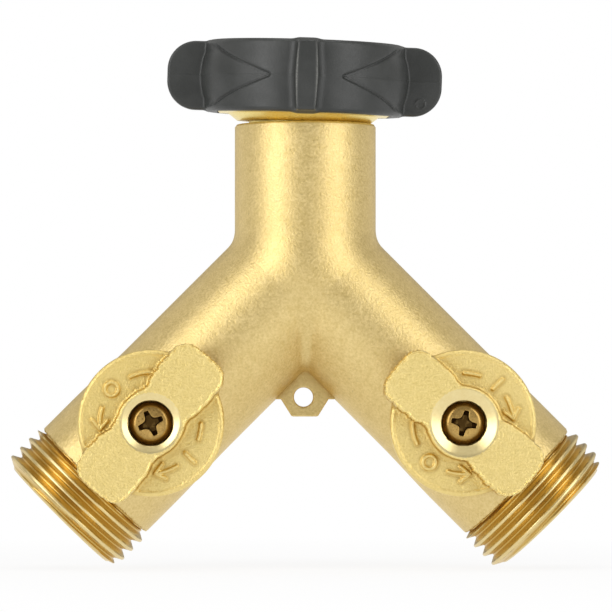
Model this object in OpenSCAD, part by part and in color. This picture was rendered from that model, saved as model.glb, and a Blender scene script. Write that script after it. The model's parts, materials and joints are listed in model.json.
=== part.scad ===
// Two-way garden hose splitter: a cast brass wye with a swivel inlet nut, a black grip collar and
// two quarter-turn ball valves. Millimetres. The origin is the centre of the hose washer's top
// face, where the tap's end lands; +Z points up towards the tap and -Y towards the levers.

/* [Body] */
// Outside diameter of the neck and of both legs
leg_od = 25; // [24.6:0.1:25.4]
// Outside diameter of each leg between its valve and its outlet thread
outlet_od = 25.7; // [25:0.1:26]
// Distance from the washer's top face down to the point where the three axes meet
hub_depth = 32.6; // [31:0.1:34]
// Angle between each leg and the vertical
leg_angle = 45; // [43:0.5:47]
// Distance from the hub to the shoulder of an outlet thread
leg_shoulder = 52.9; // [52:0.1:54]
// Distance from the hub to the end face of an outlet
leg_end = 61.4; // [61:0.1:62]
// Distance from the hub to each valve's stem axis
stem_station = 38.3; // [38:0.1:39]

/* [Hose thread] */
// Crest diameter of the male hose thread
male_crest_d = 26.9; // [26.7:0.05:27]
// Root diameter of the male hose thread
male_root_d = 24.1; // [24:0.05:24.4]
// Crest diameter of the female hose thread
female_crest_d = 24.5; // [24.4:0.05:24.7]
// Root diameter of the female hose thread
female_root_d = 27.3; // [27.2:0.05:27.5]
// Thread pitch, 11.5 turns to the inch
pitch = 2.209; // [2.2:0.001:2.22]

/* [Swivel nut and collar] */
// Diameter of the grip collar across its two ears
collar_across = 48.7; // [46:0.1:50]
// Diameter of the collar across its front and back ribs
rib_across = 40.6; // [39:0.1:44]
// Diameter of the collar between its ears and ribs
collar_d = 35.6; // [35:0.1:37]
// Height of the collar
collar_h = 12.7; // [12:0.1:13]
// Thickness of each ear and rib
wing_t = 3.5; // [3:0.1:4.5]
// Width of the nut across the flats inside the collar
nut_flats = 30.4; // [30:0.1:31]

/* [Ball valves] */
// Ball diameter
ball_d = 17; // [16.8:0.1:17.2]
// Diameter of the waterway through the ball and its seats
ball_bore_d = 11; // [10:0.1:11.2]
// Diameter of the valve stem
stem_d = 8; // [7.8:0.1:8.1]
// Angle from open to closed
lever_travel = 90; // [60:1:90]

/* [Levers] */
// Diameter of the lever's disc
disc_d = 25.5; // [25:0.1:26]
// Thickness of the lever's disc
disc_t = 2.6; // [2.5:0.1:2.8]
// Length of the lever's finger bar
bar_l = 30.4; // [29:0.1:31]
// Width of the finger bar near its ends
bar_w = 10.8; // [10:0.1:11.4]
// Height of the finger bar above the disc
bar_h = 3.4; // [3:0.1:3.6]
// Angle between the finger bar and its leg when the valve is open
bar_skew = 4.8; // [0:0.1:6]

/* [Hanging lug] */
// Depth of the lug's hole below the hub
lug_drop = 22.5; // [22:0.1:23]
// Diameter of the lug's hole
lug_hole_d = 3.4; // [3:0.1:3.6]
// Thickness of the lug
lug_t = 3; // [2.5:0.1:4]

/* [Hidden] */
$fn = 96;

BRASS = "goldenrod";
CUT_BRASS = "darkgoldenrod";
LEVER_BRASS = "khaki";
PLASTIC = "dimgray";
SEAT_WHITE = "whitesmoke";
RUBBER = "black";
CHROME = "silver";
SCREW_BRONZE = "sienna";

past = 1;              // how far a cut runs past the face it opens
slack = 0.05;          // radial room between parts that are fitted together
leg_r = leg_od / 2;

// Swivel joint, as heights from the origin
shoulder_z = -6.5;     // top of the wide neck, under the nut
spigot_z = -2.8;       // top of the spigot, under the washer
spigot_r = 10;
neck_bore_r = 8;
nut_bottom_z = -6.2;
nut_floor_z = -4.4;    // upper face of the nut's inturned floor
nut_hole_r = spigot_r + 0.15;
nut_top_z = 7.9;
ring_z = -4.15;        // underside of the snap ring
ring_t = 1;
ring_groove_r = 9.3;
ring_outer_r = 11.2;
ring_gap = 34;         // opening of the snap ring, degrees
pocket_r = 13.3;       // washer pocket below the thread
collar_z = nut_top_z - collar_h;
washer_r = 13.1;
washer_hole_r = 8;

// Valve, as distances from the hub along a leg
passage_r = 7.8;
chamber_r = 9.3;
ball_r = ball_d / 2;
seat_r = chamber_r - slack;
seat_from_ball = 5.3;  // nearest plane of each seat to the ball's centre
seat_thick = 3.8;
seat_clear = 0.06;     // room between the ball and its seats
chamber_from = stem_station - seat_from_ball - seat_thick;
chamber_to = stem_station + seat_from_ball + seat_thick;
retainer_r = 9.7;
retainer_l = 5.6;
mouth_r = retainer_r + slack;
socket_flats = 13;     // hexagon socket in the retainer
socket_depth = 3.4;

// Stem and lever, as heights from the leg's axis towards the front
pad_r = 10.5;
pad_h = 14;
spot_h = 10.2;         // flat inside the leg that the thrust washer bears on
spot_r = 5.35;
stem_r = stem_d / 2;
thrust_t = 0.6;
flange_t = 0.9;
flange_r = 5;
tongue_t = 3;
tongue_w = 7.6;
slot_t = tongue_t + 0.3;
tongue_end_h = 6.45;
slot_floor_h = 6.2;
o_ring_d = 1;          // section of each O-ring
o_ring_stations = [11.25, 12.85];
o_groove_w = 1.2;
square_w = 5.6;        // square drive between stem and lever
square_h = 2.2;
disc_gap = 0.3;        // between the pad and the disc
disc_h = pad_h + disc_gap;
bar_top_h = disc_h + disc_t + bar_h;
well_r = 3.9;          // screw well in the lever's boss
well_floor_h = bar_top_h - 2.9;
well_chamfer = 1.2;
boss_r = 5.7;
bar_corner_r = 2.4;
waist_w = bar_w - 0.6;
rim_r = 0.8;           // rounding of the disc's rim

// Stop between the body's post and the arc groove under the lever
post_r = 1.1;
post_ring_r = 8.2;
post_h = 1.3;
post_angle = 150;
groove_w = post_r + 0.35;
groove_h = 1.7;
groove_spare = asin(groove_w / post_ring_r) + 1;

// Screw that holds the lever
screw_r = 1.75;
screw_hole_r = 1.95;
screw_head_r = 3.3;
screw_head_h = 1.9;
screw_l = 6.6;
recess_w = 1;
recess_l = 4.2;
recess_depth = 1.2;
left_recess_turn = -22;
right_recess_turn = 32;

module out_along_leg(side) {
    translate([0, 0, -hub_depth])
        rotate([0, side * (180 - leg_angle), 0])
            children();
}

// Local axes: x outwards along the leg, z towards the front, origin on the leg's axis.
module at_valve(side) {
    drop = stem_station * cos(leg_angle);
    reach = side * stem_station * sin(leg_angle);
    in_plane = side > 0 ? leg_angle - 90 : -90 - leg_angle;
    translate([reach, 0, -hub_depth - drop])
        rotate([90, 0, 0])
            rotate([0, 0, in_plane])
                children();
}

// Outline of a symmetric thread of separate ridges, from radius base to radius tip.
function ridge_points(first, count, base, tip) = [
    for (i = [0 : count - 1])
        let (mid = first + i * pitch, flat = 0.17, run = flat + abs(tip - base) * tan(30))
            each [
                [base, mid - run], [tip, mid - flat], [tip, mid + flat], [base, mid + run]
            ]
];

module tube(r_out, r_in, h) {
    difference() {
        cylinder(r = r_out, h = h);
        translate([0, 0, -past])
            cylinder(r = r_in, h = h + 2 * past);
    }
}

module male_thread() {
    first = leg_shoulder + 1.5;
    count = 4;
    inner = mouth_r + 0.4;
    rotate_extrude()
        polygon(concat(
            [[inner, leg_shoulder - 2], [male_root_d / 2, leg_shoulder - 2]],
            ridge_points(first, count, male_root_d / 2, male_crest_d / 2),
            [[inner, first + (count - 1) * pitch]]
        ));
}

module wye_outside() {
    spigot_root = 2;
    translate([0, 0, -hub_depth])
        cylinder(r = leg_r, h = hub_depth + shoulder_z);
    translate([0, 0, shoulder_z - spigot_root])
        cylinder(r = spigot_r, h = spigot_z - shoulder_z + spigot_root);
    for (side = [-1, 1]) {
        out_along_leg(side) {
            cylinder(r = leg_r, h = leg_shoulder);
            translate([0, 0, stem_station])
                cylinder(d = outlet_od, h = leg_shoulder - stem_station);
            cylinder(r = male_root_d / 2, h = leg_end);
            male_thread();
        }
        at_valve(side) {
            cylinder(r = pad_r, h = pad_h);
            rotate([0, 0, post_angle])
                translate([post_ring_r, 0, pad_h - 1])
                    cylinder(r = post_r, h = post_h + 1);
        }
    }
    lug_plate();
}

// Flat hexagonal lug in the crotch between the legs
module lug_plate() {
    centre_z = -hub_depth - lug_drop;
    half_wide = 4.35;
    half_base = 2.4;
    base_drop = 3.6;
    root_rise = 12;
    translate([0, lug_t / 2, centre_z])
        rotate([90, 0, 0])
            linear_extrude(height = lug_t)
                polygon([
                    [-half_base, -base_drop], [half_base, -base_drop], [half_wide, 0],
                    [half_wide, root_rise], [-half_wide, root_rise], [-half_wide, 0]
                ]);
}

module wye_waterway() {
    translate([0, 0, -hub_depth - 3])
        cylinder(r = neck_bore_r, h = hub_depth + past);
    for (side = [-1, 1]) {
        out_along_leg(side) {
            cylinder(r = passage_r, h = chamber_from + past);
            translate([0, 0, chamber_from])
                cylinder(r = chamber_r, h = chamber_to - chamber_from + past);
            translate([0, 0, chamber_to])
                cylinder(r = mouth_r, h = leg_end - chamber_to + past);
        }
        at_valve(side) {
            cylinder(r = spot_r, h = spot_h);
            cylinder(r = stem_r + slack, h = pad_h + past);
        }
    }
}

module wye_body() {
    color(BRASS)
        difference() {
            wye_outside();
            wye_waterway();
            translate([0, 0, ring_z - 0.05])
                tube(spigot_r + past, ring_groove_r, ring_t + 0.1);
            translate([0, past + lug_t / 2, -hub_depth - lug_drop])
                rotate([90, 0, 0])
                    cylinder(d = lug_hole_d, h = lug_t + 2 * past);
        }
}

module snap_ring() {
    color(CHROME)
        translate([0, 0, ring_z])
            rotate([0, 0, ring_gap / 2])
                rotate_extrude(angle = 360 - ring_gap)
                    translate([ring_groove_r + slack, 0])
                        square([ring_outer_r - ring_groove_r - slack, ring_t]);
}

module swivel_nut() {
    lip_r = 12.1;
    lip_top_r = 13.6;
    flats_z = collar_z;
    first = 0.5 + abs(female_root_d - female_crest_d) / 2 * tan(30);
    count = 3;
    color(BRASS)
        difference() {
            union() {
                translate([0, 0, nut_bottom_z])
                    cylinder(r1 = lip_r, r2 = lip_top_r, h = flats_z - nut_bottom_z);
                translate([0, 0, flats_z])
                    rotate([0, 0, 22.5])
                        cylinder(r = nut_flats / 2 / cos(22.5), h = nut_top_z - flats_z, $fn = 8);
            }
            translate([0, 0, nut_bottom_z - past])
                cylinder(r = nut_hole_r, h = nut_floor_z - nut_bottom_z + 2 * past);
            translate([0, 0, nut_floor_z])
                cylinder(r = pocket_r, h = -nut_floor_z);
            rotate_extrude()
                polygon(concat(
                    [[0, -past], [female_crest_d / 2, -past]],
                    ridge_points(first, count, female_crest_d / 2, female_root_d / 2),
                    [[female_crest_d / 2, nut_top_z - 0.8], [female_root_d / 2, nut_top_z],
                     [female_root_d / 2, nut_top_z + past], [0, nut_top_z + past]]
                ));
        }
}

// One ear or rib of the collar: an upright plate with rounded outer corners
module collar_wing(reach, corner) {
    steps = 12;
    root = collar_d / 2 - 2;
    lower = [for (i = [0 : steps]) let (a = -90 + 90 * i / steps)
        [reach - corner + corner * cos(a), corner + corner * sin(a)]];
    upper = [for (i = [0 : steps]) let (a = 90 * i / steps)
        [reach - corner + corner * cos(a), collar_h - corner + corner * sin(a)]];
    rotate([90, 0, 0])
        translate([0, 0, -wing_t / 2])
            linear_extrude(height = wing_t)
                polygon(concat([[root, 0]], lower, upper, [[root, collar_h]]));
}

module grip_collar() {
    ear_corner = 5.2;
    rib_corner = 1;
    color(PLASTIC)
        translate([0, 0, collar_z])
            difference() {
                union() {
                    cylinder(d = collar_d, h = collar_h);
                    for (turn = [0, 180])
                        rotate([0, 0, turn]) {
                            collar_wing(collar_across / 2, ear_corner);
                            rotate([0, 0, 90])
                                collar_wing(rib_across / 2, rib_corner);
                        }
                }
                translate([0, 0, -past])
                    rotate([0, 0, 22.5])
                        cylinder(r = (nut_flats / 2 + slack) / cos(22.5), h = collar_h + 2 * past,
                            $fn = 8);
            }
}

module hose_washer() {
    color(RUBBER)
        translate([0, 0, spigot_z])
            tube(washer_r, washer_hole_r, -spigot_z);
}

// Seat ring with a spherical face towards the ball; end is -1 for the hub side, 1 for the outlet
module seat(side, end) {
    near = end > 0 ? seat_from_ball : -seat_from_ball - seat_thick;
    color(SEAT_WHITE)
        out_along_leg(side)
            translate([0, 0, stem_station])
                difference() {
                    translate([0, 0, near])
                        tube(seat_r, ball_bore_d / 2, seat_thick);
                    sphere(r = ball_r + seat_clear);
                }
}

module seat_retainer(side) {
    color(CUT_BRASS)
        out_along_leg(side)
            translate([0, 0, chamber_to])
                difference() {
                    tube(retainer_r, ball_bore_d / 2, retainer_l);
                    translate([0, 0, retainer_l - socket_depth])
                        cylinder(r = socket_flats / 2 / cos(30), h = socket_depth + past, $fn = 6);
                }
}

module ball(side) {
    color(CHROME)
        at_valve(side)
            difference() {
                sphere(r = ball_r);
                rotate([0, 90, 0])
                    translate([0, 0, -ball_r - past])
                        cylinder(r = ball_bore_d / 2, h = 2 * (ball_r + past));
                translate([-ball_r, -slot_t / 2, slot_floor_h])
                    cube([2 * ball_r, slot_t, ball_r]);
            }
}

module stem(side) {
    flange_top_h = spot_h - thrust_t;
    color(CUT_BRASS)
        at_valve(side)
            difference() {
                union() {
                    translate([-tongue_w / 2, -tongue_t / 2, tongue_end_h])
                        cube([tongue_w, tongue_t, flange_top_h - tongue_end_h]);
                    translate([0, 0, flange_top_h - flange_t])
                        cylinder(r = flange_r, h = flange_t);
                    translate([0, 0, flange_top_h - past / 2])
                        cylinder(r = stem_r, h = disc_h - flange_top_h + past / 2);
                    translate([-square_w / 2, -square_w / 2, disc_h - past])
                        cube([square_w, square_w, square_h + past]);
                }
                for (h = o_ring_stations)
                    translate([0, 0, h - o_groove_w / 2])
                        tube(stem_r + past, stem_r - o_ring_d - slack, o_groove_w);
                translate([0, 0, well_floor_h - screw_l - 0.4])
                    cylinder(r = screw_r + slack, h = screw_l + past);
            }
}

module thrust_washer(side) {
    color(SEAT_WHITE)
        at_valve(side)
            translate([0, 0, spot_h - thrust_t])
                tube(flange_r, stem_r + slack, thrust_t);
}

module stem_o_rings(side) {
    color(RUBBER)
        at_valve(side)
            for (h = o_ring_stations)
                translate([0, 0, h])
                    rotate_extrude()
                        translate([stem_r - o_ring_d / 2, 0])
                            circle(d = o_ring_d, $fn = 32);
}

// Finger bar seen from the front: rounded ends, a slight waist and a round boss
module bar_outline() {
    half_l = bar_l / 2;
    half_w = bar_w / 2;
    steps = 6;
    corners = [[1, 1, 0], [-1, 1, 90], [-1, -1, 180], [1, -1, 270]];
    polygon([
        for (c = corners)
            each concat(
                c[2] % 180 == 90 ? [[c[0] * half_l * 0.3, c[1] * waist_w / 2]] : [],
                [for (i = [0 : steps])
                    let (a = c[2] + 90 * i / steps)
                        [c[0] * (half_l - bar_corner_r) + bar_corner_r * cos(a),
                         c[1] * (half_w - bar_corner_r) + bar_corner_r * sin(a)]],
                c[2] % 180 == 0 ? [[c[0] * half_l * 0.3, c[1] * waist_w / 2]] : []
            )
    ]);
}

module lever(side) {
    color(LEVER_BRASS)
        at_valve(side)
            difference() {
                union() {
                    translate([0, 0, disc_h])
                        cylinder(d = disc_d, h = disc_t - rim_r);
                    translate([0, 0, disc_h + disc_t - rim_r])
                        cylinder(r1 = disc_d / 2, r2 = disc_d / 2 - rim_r, h = rim_r);
                    rotate([0, 0, bar_skew]) {
                        translate([0, 0, disc_h + 0.6])
                            linear_extrude(height = disc_t + bar_h - 0.6)
                                bar_outline();
                    }
                    translate([0, 0, disc_h + disc_t - past])
                        cylinder(r = boss_r, h = bar_h + past);
                }
                translate([0, 0, well_floor_h])
                    cylinder(r = well_r, h = bar_top_h - well_floor_h + past);
                translate([0, 0, bar_top_h - well_chamfer])
                    cylinder(r1 = well_r, r2 = well_r + well_chamfer, h = well_chamfer);
                translate([0, 0, disc_h - past])
                    cylinder(r = screw_hole_r, h = bar_top_h);
                square_room = square_w + 2 * slack;
                translate([-square_room / 2, -square_room / 2, disc_h - past])
                    cube([square_room, square_room, square_h + slack + past]);
                rotate([0, 0, post_angle - lever_travel - groove_spare])
                    translate([0, 0, disc_h - past])
                        rotate_extrude(angle = lever_travel + 2 * groove_spare)
                            translate([post_ring_r - groove_w, 0])
                                square([2 * groove_w, groove_h + past]);
            }
}

module lever_screw(side) {
    recess_turn = side < 0 ? left_recess_turn : right_recess_turn;
    color(SCREW_BRONZE)
        at_valve(side)
            translate([0, 0, well_floor_h])
                difference() {
                    union() {
                        translate([0, 0, -screw_l])
                            cylinder(r = screw_r, h = screw_l + 0.5);
                        cylinder(r = screw_head_r, h = screw_head_h - 0.6);
                        translate([0, 0, screw_head_h - 0.6])
                            cylinder(r1 = screw_head_r, r2 = screw_head_r - 0.9, h = 0.6);
                    }
                    for (turn = [0, 90])
                        rotate([0, 0, turn + recess_turn])
                            translate([-recess_l / 2, -recess_w / 2, screw_head_h - recess_depth])
                                cube([recess_l, recess_w, recess_depth + past]);
                }
}

wye_body();
snap_ring();
swivel_nut();
grip_collar();
hose_washer();
seat(-1, -1);  // left_inner_seat
seat(-1, 1);  // left_outer_seat
seat_retainer(-1);  // left_seat_retainer
ball(-1);  // left_ball
stem(-1);  // left_stem
thrust_washer(-1);  // left_thrust_washer
stem_o_rings(-1);  // left_stem_o_rings
lever(-1);  // left_lever
lever_screw(-1);  // left_lever_screw
seat(1, -1);  // right_inner_seat
seat(1, 1);  // right_outer_seat
seat_retainer(1);  // right_seat_retainer
ball(1);  // right_ball
stem(1);  // right_stem
thrust_washer(1);  // right_thrust_washer
stem_o_rings(1);  // right_stem_o_rings
lever(1);  // right_lever
lever_screw(1);  // right_lever_screw
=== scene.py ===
"""Looks for the hose splitter: a sandblasted brass wye with helical hose threads, a black grip
collar on a swivel nut, and two die-cast quarter-turn levers. Shapes are worked out in millimetres
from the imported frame's joints and mounts, and turned into metres when each mesh is made."""

import json
import math

import bpy
import numpy as np
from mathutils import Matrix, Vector

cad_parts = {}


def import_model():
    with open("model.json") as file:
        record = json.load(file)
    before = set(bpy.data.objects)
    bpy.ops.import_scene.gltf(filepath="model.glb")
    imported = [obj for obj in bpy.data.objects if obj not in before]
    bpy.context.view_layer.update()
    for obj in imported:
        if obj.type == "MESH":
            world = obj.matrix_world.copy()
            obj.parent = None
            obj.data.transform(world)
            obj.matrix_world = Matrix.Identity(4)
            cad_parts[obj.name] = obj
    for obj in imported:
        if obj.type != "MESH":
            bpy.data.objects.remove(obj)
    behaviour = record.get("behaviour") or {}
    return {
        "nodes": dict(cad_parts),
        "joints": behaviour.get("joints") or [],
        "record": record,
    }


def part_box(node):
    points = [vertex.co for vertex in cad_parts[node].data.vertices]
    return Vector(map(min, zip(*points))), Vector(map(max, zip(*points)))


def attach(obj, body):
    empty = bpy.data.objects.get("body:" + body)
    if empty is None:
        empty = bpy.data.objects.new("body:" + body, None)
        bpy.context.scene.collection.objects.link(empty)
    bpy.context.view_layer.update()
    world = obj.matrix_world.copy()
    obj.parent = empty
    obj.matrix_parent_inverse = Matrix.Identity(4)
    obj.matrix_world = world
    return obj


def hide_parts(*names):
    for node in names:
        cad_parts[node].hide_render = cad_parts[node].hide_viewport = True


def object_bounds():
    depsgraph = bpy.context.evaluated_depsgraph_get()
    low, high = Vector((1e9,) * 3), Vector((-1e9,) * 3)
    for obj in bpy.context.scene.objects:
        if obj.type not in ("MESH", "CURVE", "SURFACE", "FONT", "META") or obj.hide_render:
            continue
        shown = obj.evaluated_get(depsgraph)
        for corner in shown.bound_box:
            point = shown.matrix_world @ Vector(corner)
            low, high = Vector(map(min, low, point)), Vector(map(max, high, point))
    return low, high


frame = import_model()
cad_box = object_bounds()

MM = 0.001
SIDES = {"left": -1, "right": 1}


# ---------------------------------------------------------------- dimensions, in millimetres

JOINTS = {j["name"]: j for j in frame["joints"]}
MOUNTS = {m["name"]: m for m in frame["record"]["mounts"]}


def box_mm(node):
    """A CAD node's lowest and highest corner, in millimetres."""
    low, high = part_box(node)
    return np.array(low) / MM, np.array(high) / MM


def joint_mm(name):
    return np.array(JOINTS[name]["pos_m"]) / MM


DIAGONAL = math.sqrt(0.5)
STEM = {side: joint_mm(f"{side}_valve_turn") for side in SIDES}
STEM_REACH = abs(STEM["left"][0])
HUB = np.array([0.0, 0.0, STEM["left"][2] + STEM_REACH])     # where the three axes meet
STEM_STATION = STEM_REACH / DIAGONAL                         # along a leg, from the hub
LEG_DIR = {side: np.array([sign * DIAGONAL, 0.0, -DIAGONAL]) for side, sign in SIDES.items()}

LEG_R, OUTLET_R = 12.5, 12.85                                # before and after the valve
TAPER = 14                                                   # the length that takes
THREAD_PITCH = 25.4 / 11.5
MALE_CREST_R = MOUNTS["left_outlet_thread"]["dims"]["r_mm"]
MALE_ROOT_R = 12.05
FEMALE_CREST_R = MOUNTS["inlet_thread"]["dims"]["r_mm"]
FEMALE_ROOT_R = 13.65
THREAD_FROM = STEM_STATION + 14.6                            # shoulder of an outlet thread
LEG_END = STEM_STATION + 23.1
LEG_MORE = {"left": -0.12, "right": 0.18}                    # the cast legs are not quite the same length
MOUTH_R = 9.75

NUT_LOW, NUT_HIGH = box_mm("swivel_nut")
COLLAR_LOW, COLLAR_HIGH = box_mm("grip_collar")
WASHER_LOW, WASHER_HIGH = box_mm("hose_washer")
RING_LOW, RING_HIGH = box_mm("snap_ring")
NECK_TOP = NUT_LOW[2] - 0.65
SPIGOT_TOP = WASHER_LOW[2]
SPIGOT_R = 10.0
NECK_BORE_R = 8.0


# ---------------------------------------------------------------- meshes

def make_mesh(name, verts_mm, faces, materials, normals=None, smooth_angle=None, slots=None):
    """A mesh object from millimetre vertices. slots gives each face's material index."""
    mesh = bpy.data.meshes.new(name)
    mesh.from_pydata((np.asarray(verts_mm) * MM).tolist(), [], [list(map(int, f)) for f in faces])
    for material in materials:
        mesh.materials.append(material)
    if slots is not None:
        mesh.polygons.foreach_set("material_index", np.asarray(slots, np.int32))
    mesh.polygons.foreach_set("use_smooth", np.ones(len(mesh.polygons), bool))
    mesh.update()
    if normals is not None:
        mesh.normals_split_custom_set_from_vertices(np.asarray(normals).tolist())
    elif smooth_angle is not None:
        mesh.set_sharp_from_angle(angle=math.radians(smooth_angle))
    piece = bpy.data.objects.new(name, mesh)
    bpy.context.scene.collection.objects.link(piece)
    return piece


def axes_of(direction, front):
    """A turn whose z runs along direction and whose x runs towards front."""
    z = np.array(direction, float) / np.linalg.norm(direction)
    x = np.array(front, float)
    x -= (x @ z) * z
    x /= np.linalg.norm(x)
    return np.stack([x, np.cross(z, x), z], 1)


def placed(points, turn, origin=(0.0, 0.0, 0.0)):
    """Points, or directions, turned and then moved to origin."""
    return np.asarray(points) @ turn.T + np.asarray(origin)


def lathe(profile, steps=128, radius_scale=None, closed=True):
    """Vertices and quads of (r, z) profile points turned about z. radius_scale(angles) makes a row
    of radii factors where a profile point has a third value of 1."""
    angles = np.linspace(0, 2 * math.pi, steps, endpoint=False)
    rows = []
    for point in profile:
        r = np.full(steps, float(point[0]))
        if len(point) > 2 and radius_scale is not None:
            r = r * (1 + point[2] * (radius_scale(angles) - 1))
        rows.append(np.stack([r * np.cos(angles), r * np.sin(angles), np.full(steps, point[1])], 1))
    verts = np.concatenate(rows)
    faces = []
    count = len(profile)
    for i in range(count if closed else count - 1):
        a = np.arange(steps) + i * steps
        b = np.roll(np.arange(steps), -1) + i * steps
        following = ((i + 1) % count - i) * steps
        faces.append(np.stack([a, b, b + following, a + following], 1))
    return verts, np.concatenate(faces)


CORNER_STEPS = 4


def rounded(points, radius):
    """A closed profile with rounded corners; a point's own third value overrides the radius."""
    out = []
    count = len(points)
    for i, point in enumerate(points):
        p = np.array(point[:2], float)
        r = point[2] if len(point) > 2 else radius
        if r <= 0:
            out.append(tuple(p))
            continue
        a = np.array(points[i - 1][:2], float) - p
        b = np.array(points[(i + 1) % count][:2], float) - p
        la, lb = np.linalg.norm(a), np.linalg.norm(b)
        a, b = a / la, b / lb
        half = math.acos(np.clip(a @ b, -1, 1)) / 2
        back = min(r / math.tan(half), la * 0.45, lb * 0.45)
        for t in np.linspace(0, 1, CORNER_STEPS + 1):
            q = (1 - t) ** 2 * (p + a * back) + 2 * t * (1 - t) * p + t ** 2 * (p + b * back)
            out.append(tuple(q))
    return out


# ---------------------------------------------------------------- implicit surfaces

NEWTON_STEPS = 3
# millimetres between the points at which each shape is worked out
GRID = {"casting": 0.5, "lug": 0.22, "collar": 0.25, "lever": 0.2, "screw": 0.11}
SLAB_POINTS = 400000                    # grid points worked out at a time
FADE_END = 9                            # millimetres


def ease(x):
    """A smooth step from 0 to 1 as x goes from 0 to 1."""
    x = np.clip(x, 0, 1)
    return x * x * (3 - 2 * x)


def smooth_union(a, b, blend):
    """The union of two shapes with a fillet about blend wide between them."""
    h = np.clip(blend - np.abs(a - b), 0, None) / blend
    return np.minimum(a, b) - h * h * blend / 4


def rod(points, start, direction, radius, low, high, edge):
    """Distance to a round rod along direction from start, with its ends at low and high."""
    d = points - start
    along = d @ direction
    across = np.sqrt(np.maximum((d * d).sum(1) - along * along, 0))
    ends = np.maximum(low - along, along - high)
    return corner(across - radius, ends, edge)


def corner(a, b, edge):
    """The intersection of two shapes with its edge rounded."""
    outside = np.sqrt(np.maximum(a + edge, 0) ** 2 + np.maximum(b + edge, 0) ** 2) - edge
    return np.where((a > -edge) & (b > -edge), outside, np.maximum(a, b))


def ridge(x, width):
    """1 where x is 0, falling away smoothly to either side."""
    return np.exp(-(x / width) ** 2)


def fade(distance, reach):
    """1 on and inside a shape, falling away outside it."""
    return np.exp(-np.clip(distance, 0, FADE_END) / reach)


def surface(field, low, high, step, relax=2):
    """Vertices, quads and normals of the zero surface of field: surface nets, evened out and moved
    onto the surface with Newton steps."""
    axes = [np.arange(l, h + step, step) for l, h in zip(low, high)]
    shape = tuple(len(a) for a in axes)
    values = np.empty(shape)
    yz = np.stack(np.meshgrid(axes[1], axes[2], indexing="ij"), -1).reshape(-1, 2)
    slab = max(1, SLAB_POINTS // len(yz))
    for i in range(0, shape[0], slab):
        xs = axes[0][i:i + slab]
        points = np.concatenate([np.repeat(xs, len(yz))[:, None], np.tile(yz, (len(xs), 1))], 1)
        values[i:i + slab] = field(points).reshape(len(xs), shape[1], shape[2])
    inside = values < 0
    cells = tuple(n - 1 for n in shape)
    total = np.zeros((cells[0] * cells[1] * cells[2], 3))
    hits = np.zeros(len(total))
    edges = []
    for axis in range(3):
        u, v = [a for a in range(3) if a != axis]
        ahead = [slice(None)] * 3
        behind = [slice(None)] * 3
        ahead[axis], behind[axis] = slice(1, None), slice(None, -1)
        crossing = np.argwhere(inside[tuple(ahead)] != inside[tuple(behind)])
        keep = np.ones(len(crossing), bool)
        for other in (u, v):
            keep &= (crossing[:, other] > 0) & (crossing[:, other] < shape[other] - 1)
        crossing = crossing[keep]
        beyond = crossing.copy()
        beyond[:, axis] += 1
        v0, v1 = values[tuple(crossing.T)], values[tuple(beyond.T)]
        where = crossing.astype(float)
        where[:, axis] += v0 / (v0 - v1)
        around = []
        for du, dv in ((1, 1), (0, 1), (0, 0), (1, 0)):
            cell = crossing.copy()
            cell[:, u] -= du
            cell[:, v] -= dv
            flat = np.ravel_multi_index(tuple(cell.T), cells)
            for k in range(3):
                total[:, k] += np.bincount(flat, where[:, k], len(total))
            hits += np.bincount(flat, minlength=len(total))
            around.append(flat)
        quad = np.stack(around, 1)
        flip = (v0 < 0) == (axis == 1)
        quad[flip] = quad[flip][:, ::-1]
        edges.append(quad)
    used = np.flatnonzero(hits)
    index = np.full(len(total), -1)
    index[used] = np.arange(len(used))
    verts = total[used] / hits[used][:, None] * step + np.array(low)
    quads = index[np.concatenate(edges)]
    for i in range(relax + 1):
        if i:
            verts = verts * 0.5 + neighbour_mean(verts, quads) * 0.5
        for _ in range(NEWTON_STEPS):
            value, slope = field(verts), gradient(field, verts)
            move = slope * (value / np.maximum((slope ** 2).sum(1), 0.05))[:, None]
            size = np.linalg.norm(move, axis=1)[:, None]
            verts = verts - move * np.minimum(1, 0.5 * step / np.maximum(size, 1e-9))
    normals = gradient(field, verts)
    return verts, quads, normals / np.maximum(np.linalg.norm(normals, axis=1), 1e-9)[:, None]


def gradient(field, points, reach=0.02):
    """The slope of field at points, from values reach to either side."""
    columns = []
    for k in range(3):
        offset = np.zeros(3)
        offset[k] = reach
        columns.append((field(points + offset) - field(points - offset)) / (2 * reach))
    return np.stack(columns, 1)


def neighbour_mean(verts, quads):
    """For each vertex, the middle of the vertices it shares an edge with."""
    ends = np.concatenate([quads[:, [i, (i + 1) % 4]] for i in range(4)])
    ends = np.concatenate([ends, ends[:, ::-1]])
    count = np.bincount(ends[:, 0], minlength=len(verts))
    total = np.stack([np.bincount(ends[:, 0], verts[ends[:, 1], k], len(verts)) for k in range(3)], 1)
    return total / np.maximum(count, 1)[:, None]


# ---------------------------------------------------------------- helical threads

THREAD_STEPS = 144                      # a turn, for the threads and what is joined to them


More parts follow.
